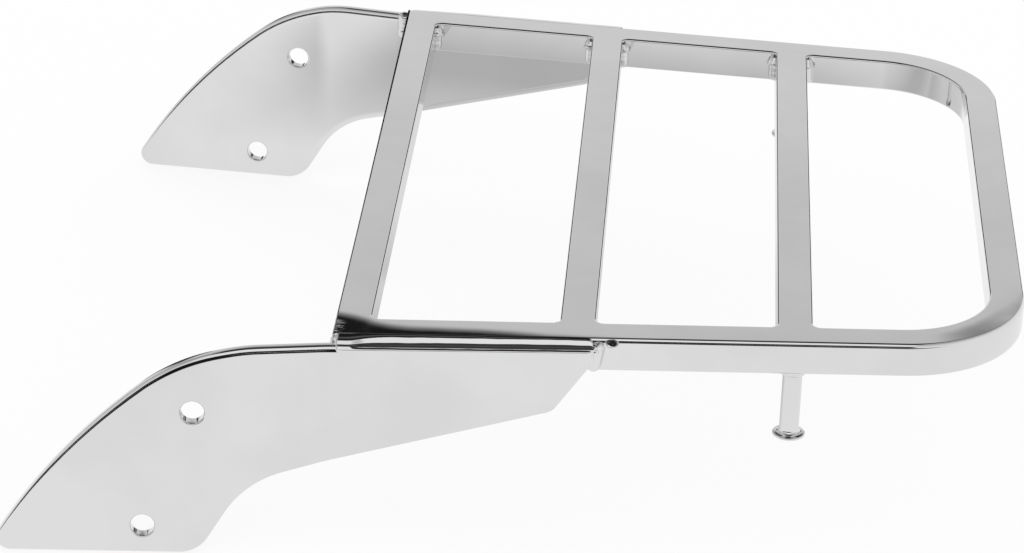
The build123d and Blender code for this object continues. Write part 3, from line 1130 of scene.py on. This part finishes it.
@dataclass
class SeamWeld:
    """The long weld between the rail's top edge and the side plate's top edge, dressed with a grinder."""

    plan: RackPlan = PLAN
    plate: SidePlate = field(default_factory=SidePlate)
    left: tuple[SeamStation, ...] = (
        SeamStation(-84.9, 2.0, 1.6),
        SeamStation(-80.0, 2.3, 1.5),
        SeamStation(-75.0, 1.1, 1.3),
        SeamStation(-68.0, 0.2, 1.15),
        SeamStation(-45.0, 0.0, 1.0),
        SeamStation(-5.0, 0.0, 0.55),
        SeamStation(6.2, 0.3, 0.5),
    )
    right: tuple[SeamStation, ...] = (
        SeamStation(-84.9, 1.6, 0.8),
        SeamStation(-60.0, 1.9, 0.4),
        SeamStation(6.2, 1.5, 0.4),
    )
    spacing: float = 2.6
    unevenness: float = 0.07

    def stations(self, side: Side) -> list[SeamStation]:
        """Stations along the seam, drawn evenly between the welder's few changes of shape.

        Args:
            side: The right-hand seam is filled nearly flush, the left-hand one only at its front end.

        Returns:
            The stations from front to rear.
        """
        marks = self.left if side is Side.LEFT else self.right
        front, rear = marks[0].u, marks[-1].u
        count = round((rear - front) / self.spacing)
        result = []
        for i in range(count + 1):
            u = front + (rear - front) * i / count
            one, two = next(pair for pair in zip(marks, marks[1:]) if u <= pair[1].u + 1e-6)
            share = (u - one.u) / (two.u - one.u)
            fill = one.fill + (two.fill - one.fill) * share
            result.append(SeamStation(u, fill, one.edge + (two.edge - one.edge) * share))
        return result

    def section(self, at: SeamStation) -> list[Vector]:
        """The weld's closed outline across the rail at a station, from the rail's top over the plate and inside.

        Args:
            at: The station.

        Returns:
            Points with y outwards negative, in metres.
        """
        one, two = self.plate.crest_end, self.plate.tail_top
        top = one.z + (two.z - one.z) * (at.u - one.u) / (two.u - one.u)
        fill, edge = at.fill, at.edge
        foot = min(1.85 + fill, 4.1)
        over_rail = [
            (-1.5, 0.0),
            (-0.7 + 0.5 * fill, -0.10 * edge),
            (0.8 * fill, -0.42 * edge),
            (min(0.5 + fill, 3.3), -0.95 * edge),
            (min(0.9 + fill, 3.7), -0.475 * edge + top / 2),
        ]
        over_plate = [
            (min(1.4 + fill, 3.9), 0.03),
            (foot, -0.1),
            (max(3.1, foot + 0.05), -0.22),
            (max(3.9, foot + 0.1), -0.4),
            (4.3, -0.75),
            (4.52, -1.02),
            (4.59, -1.14),
            (4.62, -1.3),
            (4.61, -1.9),
            (4.5, -3.0),
            (4.3, -3.8),
            (3.4, -4.1),
            (-1.0, -4.1),
        ]
        outline = [*over_rail, *((out, top + rise) for out, rise in over_plate), (-1.9, -0.6)]
        return [spot(at.u, -out, z) for out, z in outline]

    def build(self, rack: Rack, side: Side) -> None:
        """Trace each section, bridge them into one skin, close its ends and leave it a little uneven."""
        seam = empty_piece()
        with editing(seam):
            for at in self.stations(side):
                points = self.section(at)
                set_point(points[0])
                for here, there in zip(points, points[1:] + points[:1]):
                    push_out(there - here)
            merge_points()
            pick_all()
            bpy.ops.mesh.bridge_edge_loops(type="SINGLE")
            pick("EDGE", lambda edge: edge.is_boundary)
            bpy.ops.mesh.fill_holes(sides=0)
            pick("VERT", lambda vertex: -4.0 < to_mm(vertex.co.y) < -0.3 and to_mm(vertex.co.z) > -3.3)
            leave_uneven(self.unevenness, seed=4 + side.value)
        smooth_skin(seam)
        seat_on_rail(seam, self.plan, side)
        finish_surface(seam, f"{side.word}_seam_bead", WELD_CREASE)
        rack.stand_for(seam, Finish.SEAM, "weld", f"{side.word}_plate_seam_weld")


@dataclass
class PlateWelds:
    """The beads that hold a side plate's ends: at the front corner, at the tail and under the rail."""

    plan: RackPlan = PLAN
    stitches: tuple[Span, ...] = ((-69.3, -56.7), (-34.3, -21.7))
    fillet_reach: float = 5.6
    fillet_width: float = 6.8
    fillet_flat: float = 0.4
    fillet_place: Triple = (7.6, 1.0, -6.75)
    pit_size: Triple = (2.6, 2.2, 0.5)
    pit_lumps: float = 0.13
    pit_roll_deg: float = -38.0
    pit_place: Triple = (12.7, 0.3, -1.5)

    def on_rail(self, side: Side, u: float, out: float, z: float) -> Vector:
        """A point given along the rail, out from its outer face and up."""
        turn = self.plan.taper
        x = u * math.cos(turn) + out * math.sin(turn)
        y = -self.plan.rail_outer(0.0) + u * math.sin(turn) - out * math.cos(turn)
        return spot(x, -side.value * y, z)

    def bead(self, side: Side, one: Triple, two: Triple, width: float, **more: float) -> Bead:
        """A bead between two points given along the rail."""
        return Bead(self.on_rail(side, *one), self.on_rail(side, *two), width, **more)

    def corner_beads(self, side: Side) -> list[Bead]:
        """The bead up the front corner: on the left a narrow one with a lump over it, on the right a broad one."""
        rough = {"unevenness": 0.1, "dome": 0.4}
        if side is Side.RIGHT:
            return [self.bead(side, (-87.2, -1.2, -12.6), (-87.0, -1.4, -0.8), 6.4, ripple=2.4, seed=23, **rough)]
        return [
            self.bead(side, (-84.9, -1.0, -12.3), (-84.7, -1.2, -1.5), 3.2, ripple=2.2, seed=21, **rough),
            self.bead(side, (-84.4, -3.0, -1.7), (-83.2, 1.5, -2.4), 3.0, ripple=1.5, unevenness=0.2, seed=22),
        ]

    def build(self, rack: Rack, side: Side) -> None:
        """Lay the three groups of beads on one side."""
        word = side.word
        corner = lay_beads(self.corner_beads(side), f"{word}_corner_beads")
        rack.stand_for(corner, Finish.WELD, "weld", f"{word}_plate_corner_weld")
        smooth = {"ripple": 3.0, "unevenness": 0.01, "sides": 20, "seed": 33}
        tail = lay_beads([self.bead(side, (6.9, -0.6, -2.6), (6.5, 3.3, -4.9), 3.4, **smooth)], f"{word}_tail_beads")
        join_up([tail, self.end_pit(side), self.tail_fillet(side)])
        rack.stand_for(tail, Finish.SEAM, "weld", f"{word}_plate_tail_weld")
        stitches = [
            self.bead(side, (one, 0.1, -13.0), (two, 0.1, -13.0), 3.6, unevenness=0.14, seed=41 + i)
            for i, (one, two) in enumerate(self.stitches)
        ]
        stitch = lay_beads(stitches, f"{word}_stitch_beads")
        rack.stand_for(stitch, Finish.WELD, "weld", f"{word}_plate_stitch_welds")

    def tail_fillet(self, side: Side) -> Piece:
        """The smooth fillet that closes the step from the plate's tail end down to the rail's outer face."""
        shape = {"ripple": 2.2, "unevenness": 0.01, "dome": 0.8, "sides": 28, "seed": 31}
        reach = self.fillet_reach
        fillet = Bead(spot(0.0, 0.0, -reach), spot(0.0, 0.0, reach), self.fillet_width, **shape).lay()
        fillet.scale.y = self.fillet_flat
        settle(fillet)
        fillet.rotation_euler.z = -side.value * (math.radians(45.0) + self.plan.taper)
        settle(fillet)
        fillet.rotation_euler = (side.value * math.radians(9.0), math.radians(13.0), 0.0)
        fillet.location = self.on_rail(side, *self.fillet_place)
        settle(fillet)
        return finish_surface(fillet, "tail_fillet", WELD_CREASE)

    def end_pit(self, side: Side) -> Piece:
        """The flattened lump on the rail's edge where the welder lifted off behind the tail."""
        clear_selection()
        bpy.ops.mesh.primitive_uv_sphere_add(segments=14, ring_count=8, radius=mm(1.0))
        pit = bpy.context.object
        pit.scale = self.pit_size
        settle(pit)
        with editing(pit):
            pick_all()
            leave_uneven(self.pit_lumps, seed=12 + side.value)
        smooth_skin(pit)
        roll = side.value * math.radians(self.pit_roll_deg)
        pit.rotation_euler = (roll, 0.0, -side.value * self.plan.taper)
        pit.location = self.on_rail(side, *self.pit_place)
        settle(pit)
        return finish_surface(pit, "end_pit", WELD_CREASE)


@dataclass
class PegWeld:
    """The ring of weld where a peg meets the rail's underside."""

    plan: RackPlan = PLAN
    ring_radius: float = 3.9
    bead_radius: float = 1.25
    tall: float = 1.5
    drop: float = 0.6
    lumps: float = 0.16

    def build(self, rack: Rack, side: Side) -> None:
        """Lay a ring round the shank and leave it a little lumpy."""
        x = self.plan.rear_bar_x
        clear_selection()
        bpy.ops.mesh.primitive_torus_add(
            major_segments=32,
            minor_segments=10,
            major_radius=mm(self.ring_radius),
            minor_radius=mm(self.bead_radius),
            location=spot(x, side.value * self.plan.rail_centre(x), -self.plan.tube - self.drop),
        )
        ring = bpy.context.object
        ring.scale.z = self.tall
        settle(ring)
        with editing(ring):
            pick_all()
            leave_uneven(self.lumps, seed=9 + side.value)
        smooth_skin(ring)
        finish_surface(ring, f"{side.word}_peg_ring_bead", WELD_CREASE)
        rack.stand_for(ring, Finish.WELD, "weld", f"{side.word}_peg_weld")


# The studio


@dataclass
class Studio:
    """White floor, soft surroundings and the camera at the photograph's angle.

    The metal mirrors a floor whose glow carries painted shadow and painted dark patches, and surroundings of several
    tones, and the camera sees them white. Each tone sits where the photograph's metal is lighter or darker.
    """

    floor_z: float = -85.0
    floor_radius: float = 6000.0
    camera_place: Triple = (30.651, -1322.517, 583.816)
    right: Triple = (0.997510, 0.061967, 0.033675)
    down: Triple = (0.057060, -0.428480, -0.901748)
    forward: Triple = (-0.041449, 0.901424, -0.430949)
    lens: float = 131.43
    # Tones of the surroundings by height, in degrees up from the far horizon over the top to the near one
    heights: tuple[Span, ...] = (
        (0, 0.95), (18, 0.86), (21.7, 0.776), (24, 0.70), (27.5, 0.655), (31, 0.30), (35.5, 0.012), (75, 0.012),
        (81, 0.10), (97, 0.10), (103, 0.012), (126, 0.03), (132, 1.0), (164, 1.0), (168, 0.02), (180, 0.012),
    )

    def place_camera(self) -> None:
        """Put the camera where the photograph was taken from."""
        data = bpy.data.cameras.new("studio_camera")
        data.lens = self.lens
        data.sensor_width = 36.0
        data.clip_start = 0.05
        camera = bpy.data.objects.new("studio_camera", data)
        bpy.context.scene.collection.objects.link(camera)
        turn = Matrix((self.right, -Vector(self.down), -Vector(self.forward))).transposed()
        camera.matrix_world = Matrix.Translation(spot(*self.camera_place)) @ turn.to_4x4()
        bpy.context.scene.camera = camera

    def lay_floor(self) -> None:
        """Lay a wide pale floor under the side plates' feet, which the metal sees as a glow with painted shade."""
        clear_selection()
        place = spot(0.0, 0.0, self.floor_z)
        bpy.ops.mesh.primitive_circle_add(
            vertices=96, radius=mm(self.floor_radius), fill_type="NGON", location=place
        )
        floor = bpy.context.object
        settle(floor)
        floor.name = "studio_floor"
        material, tree = fresh_material("white studio floor")
        # Glossy rays see a glow whose strength carries the painted shadow and painted dark patches
        painted_shade_glow = add_node(tree, "ShaderNodeEmission", Color=WHITE, Strength=self.painted_floor_shade(tree))
        matt = add_node(tree, "ShaderNodeBsdfDiffuse", Color=hex_colour("#FAFAFA"))
        white = add_node(tree, "ShaderNodeEmission", Color=WHITE, Strength=1.0)
        rays = add_node(tree, "ShaderNodeLightPath")
        lifted = calc(tree, "MULTIPLY", rays.outputs["Is Camera Ray"], 0.82)
        paper = self.mix(tree, lifted, matt.outputs["BSDF"], white.outputs["Emission"])
        both = self.mix(tree, rays.outputs["Is Glossy Ray"], paper, painted_shade_glow.outputs["Emission"])
        add_node(tree, "ShaderNodeOutputMaterial", Surface=both)
        floor.data.materials.append(material)

    @staticmethod
    def mix(tree: Tree, share: Socket, one: Socket, two: Socket) -> Socket:
        """Mix two shaders by a share."""
        return add_node(tree, "ShaderNodeMixShader", i0=share, i1=one, i2=two).outputs["Shader"]

    @staticmethod
    def painted_floor_shade(tree: Tree) -> Socket:
        """Painted shade in the floor as the metal sees it: a painted shadow under the rack, a painted dark band in
        front of it past about half a metre, and painted shade under its far side.
        """
        place = add_node(tree, "ShaderNodeTexCoord").outputs["Object"]
        parts = add_node(tree, "ShaderNodeSeparateXYZ", Vector=place)
        x, y = parts.outputs["X"], parts.outputs["Y"]
        beside = calc(tree, "ABSOLUTE", calc(tree, "SUBTRACT", y, 0.005))
        # Painted shadow under the rack's middle: the floor's glow in the metal falls from 0.97 to 0.56 there
        between = patch(
            tree, (x, (-0.20, -0.14)), (x, (0.06, 0.16), FALLING), (beside, (0.015, 0.13), FALLING, False)
        )
        # Painted dark band on the floor in front of the rack, seen only in the metal
        aside = calc(tree, "MAXIMUM", x, calc(tree, "MULTIPLY", x, -0.4))
        painted_dark_front = patch(tree, (y, (-0.56, -0.44), FALLING), (aside, (0.45, 0.75), (0.99, 0.0)))
        # Painted shade on the floor under the rack's far side, seen only in the metal
        painted_shade_far_side = patch(
            tree, (x, (-0.10, -0.085)), (x, (0.04, 0.09), FALLING), (y, (0.055, 0.08), (0.0, 0.22))
        )
        return patch(
            tree,
            (between, WHOLE, (0.97, 0.56), False),
            (painted_dark_front, WHOLE, FALLING, False),
            (painted_shade_far_side, WHOLE, FALLING, False),
        )

    def height_tone(self, tree: Tree, parts: bpy.types.Node) -> Socket:
        """Tone of the surroundings by height ahead and behind, and a plain room's tones at both sides."""
        turn = calc(tree, "ARCTAN2", parts.outputs["Z"], parts.outputs["Y"])
        share = ramp(tree, calc(tree, "ABSOLUTE", turn), (0.0, math.pi), smooth=False)
        node = add_node(tree, "ShaderNodeValToRGB", Fac=share)
        points = node.color_ramp.elements
        while len(points) < len(self.heights):
            points.new(0.5)
        for point, (degrees, tone) in zip(points, self.heights):
            point.position = degrees / 180.0
            point.color = (tone, tone, tone, 1.0)
        room = ramp(tree, parts.outputs["Z"], (0.0, 0.9), (0.93, 0.42))
        facing = ramp(tree, calc(tree, "ABSOLUTE", parts.outputs["X"]), (0.28, 0.42), FALLING)
        return add_node(tree, "ShaderNodeMix", i0=facing, A=room, B=node.outputs["Color"]).outputs["Result"]

    def surround(self) -> None:
        """Set the surroundings: even white for the floor and the view, and a studio's tones for the metal."""
        world = bpy.data.worlds.new("white studio")
        bpy.context.scene.world = world
        world.use_nodes = True
        tree = world.node_tree
        tree.nodes.clear()
        heading = add_node(tree, "ShaderNodeTexCoord").outputs["Generated"]
        parts = add_node(tree, "ShaderNodeSeparateXYZ", Vector=heading)
        x, y, z = (parts.outputs[name] for name in "XYZ")
        aside = calc(tree, "ABSOLUTE", x)
        ahead = (y, (0.3, 0.5))
        flags = [
            patch(tree, (aside, (0.29, 0.34)), (aside, (0.46, 0.54), FALLING), (z, (0.26, 0.38), FALLING), ahead),
            patch(tree, (x, (-0.80, -0.75)), (x, (-0.62, -0.57), FALLING), (z, (0.22, 0.32), FALLING), ahead),
            patch(tree, (x, (-0.25, -0.15), FALLING), (y, (-0.5, -0.35), FALLING), (z, (0.12, 0.18), FALLING)),
        ]
        dark = flags[0]
        for flag in flags[1:]:
            dark = calc(tree, "MAXIMUM", dark, flag)
        unflagged = ramp(tree, dark, WHOLE, (1.0, 0.03), smooth=False)
        lit = calc(tree, "MULTIPLY", self.height_tone(tree, parts), unflagged)
        metal = add_node(tree, "ShaderNodeBackground", Color=WHITE, Strength=lit)
        plain = add_node(tree, "ShaderNodeBackground", Color=WHITE, Strength=1.0)
        glossy = add_node(tree, "ShaderNodeLightPath").outputs["Is Glossy Ray"]
        both = self.mix(tree, glossy, plain.outputs["Background"], metal.outputs["Background"])
        add_node(tree, "ShaderNodeOutputWorld", Surface=both)

    def hang_lamp(self) -> None:
        """Hang one broad soft lamp overhead, for the floor's soft shadow; the metal doesn't mirror it."""
        data = bpy.data.lights.new("overhead_softbox", "AREA")
        data.shape = "DISK"
        data.size = 1.2
        data.energy = 0.6
        lamp = bpy.data.objects.new("overhead_softbox", data)
        lamp.location = (0.0, -0.2, 1.6)
        lamp.visible_glossy = False
        bpy.context.scene.collection.objects.link(lamp)

    def build(self) -> None:
        """Set up the whole studio."""
        bpy.context.scene.view_settings.view_transform = "Standard"
        self.lay_floor()
        self.surround()
        self.hang_lamp()
        self.place_camera()


def main() -> None:
    """Build and dress the rack, then set up the studio."""
    logging.basicConfig(level=logging.INFO, format="%(message)s")
    rack = Rack()
    TubeFrame().build(rack)
    for side in Side:
        plate = SidePlate().build(side)
        rack.stand_for(plate, Finish.TUBE, "chrome", f"{side.word}_side_plate")
        peg = Peg().build(side)
        rack.stand_for(peg, Finish.TUBE, "chrome", f"{side.word}_peg")
        CrossbarWelds().build(rack, side)
        SeamWeld().build(rack, side)
        PlateWelds().build(rack, side)
        PegWeld().build(rack, side)
    Studio().build()


if __name__ == "__main__":
    main()
